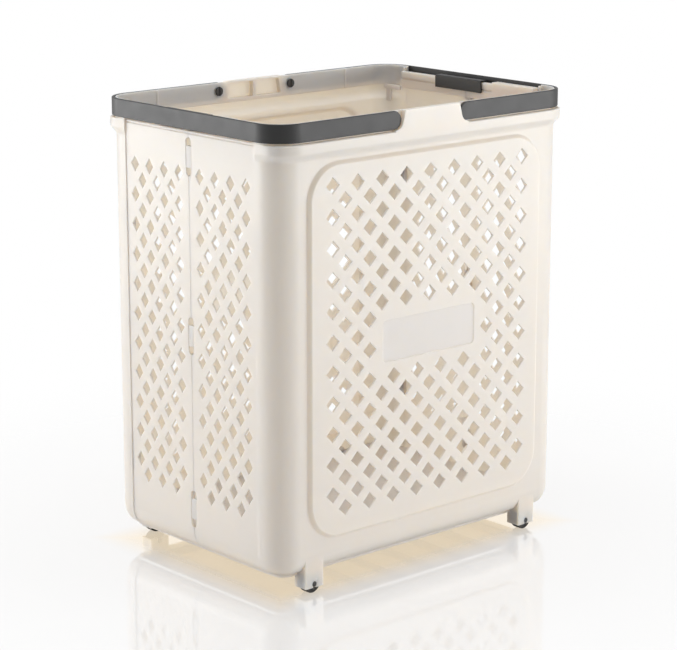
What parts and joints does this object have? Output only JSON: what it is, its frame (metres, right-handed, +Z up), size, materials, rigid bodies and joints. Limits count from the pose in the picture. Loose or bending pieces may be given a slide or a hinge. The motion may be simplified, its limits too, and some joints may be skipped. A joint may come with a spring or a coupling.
{
  "type": "folding laundry basket",
  "caption": "Tall rectangular laundry basket on small wheels, with pierced walls, a raised front panel, bail handles round the rim and folding sides.",
  "frame": {"origin": "on the floor, under the centre of the basket", "axes": "+Z up; +X to the right seen from the front panel, along the long side; +Y to the back"},
  "size_m": [0.465, 0.331, 0.549],
  "materials": {
    "body": "moulded ivory polypropylene, satin, smooth",
    "handle": "moulded charcoal plastic, satin",
    "dark_trim": "moulded near-black plastic, satin",
    "pin": "natural acetal rod, satin",
    "wheel": "moulded black plastic, worn satin tread"
  },
  "bodies": {
    "basket": {"front_shell": "body", "back_shell": "body", "right_front_leaf": "body", "right_back_leaf": "body", "left_front_leaf": "body", "left_back_leaf": "body", "left_fold_pin_lower": "pin", "left_fold_pin_middle": "pin", "left_fold_pin_upper": "pin", "right_fold_pin_lower": "pin", "right_fold_pin_middle": "pin", "right_fold_pin_upper": "pin", "front_left_seam_pin_lower": "pin", "front_left_seam_pin_upper": "pin", "back_left_seam_pin_lower": "pin", "back_left_seam_pin_upper": "pin", "front_right_seam_pin_lower": "pin", "front_right_seam_pin_upper": "pin", "back_right_seam_pin_lower": "pin", "back_right_seam_pin_upper": "pin", "front_left_axle": "pin", "back_left_axle": "pin", "front_right_axle": "pin", "back_right_axle": "pin"},
    "base": {"base_panel": "body", "base_hinge_pin_left": "pin", "base_hinge_pin_right": "pin"},
    "handle_right": {"right_handle": "handle", "right_handle_front_pin": "dark_trim", "right_handle_back_pin": "dark_trim"},
    "handle_left": {"left_handle": "handle", "left_handle_front_pin": "dark_trim", "left_handle_back_pin": "dark_trim"},
    "lock_right": {"right_lock_sleeve": "dark_trim"},
    "lock_left": {"left_lock_sleeve": "dark_trim"},
    "wheel_front_left": {"front_left_wheel": "wheel"},
    "wheel_front_right": {"front_right_wheel": "wheel"},
    "wheel_back_left": {"back_left_wheel": "wheel"},
    "wheel_back_right": {"back_right_wheel": "wheel"}
  },
  "joints": [
    {"name": "right_handle_lift", "type": "hinge", "parent": "basket", "child": "handle_right", "pos_m": [0.0575, 0, 0.5383], "axis": [0, -1, 0], "range_deg": [0, 104]},
    {"name": "left_handle_lift", "type": "hinge", "parent": "basket", "child": "handle_left", "pos_m": [-0.0575, 0, 0.5383], "axis": [0, 1, 0], "range_deg": [0, 104]},
    {"name": "base_flip", "type": "hinge", "parent": "basket", "child": "base", "pos_m": [0, 0.148, 0.042], "axis": [-1, 0, 0], "range_deg": [0, 88]},
    {"name": "right_lock_slide", "type": "slide", "parent": "basket", "child": "lock_right", "axis": [0, 1, 0], "range_m": [-0.014, 0.06]},
    {"name": "left_lock_slide", "type": "slide", "parent": "basket", "child": "lock_left", "axis": [0, 1, 0], "range_m": [-0.014, 0.06]},
    {"name": "front_left_wheel_spin", "type": "hinge", "parent": "basket", "child": "wheel_front_left", "pos_m": [-0.1743, -0.1475, 0.0115], "axis": [0, 1, 0], "continuous": true},
    {"name": "front_right_wheel_spin", "type": "hinge", "parent": "basket", "child": "wheel_front_right", "pos_m": [0.1743, -0.1475, 0.0115], "axis": [0, 1, 0], "continuous": true},
    {"name": "back_left_wheel_spin", "type": "hinge", "parent": "basket", "child": "wheel_back_left", "pos_m": [-0.1743, 0.1475, 0.0115], "axis": [0, 1, 0], "continuous": true},
    {"name": "back_right_wheel_spin", "type": "hinge", "parent": "basket", "child": "wheel_back_right", "pos_m": [0.1743, 0.1475, 0.0115], "axis": [0, 1, 0], "continuous": true}
  ]
}
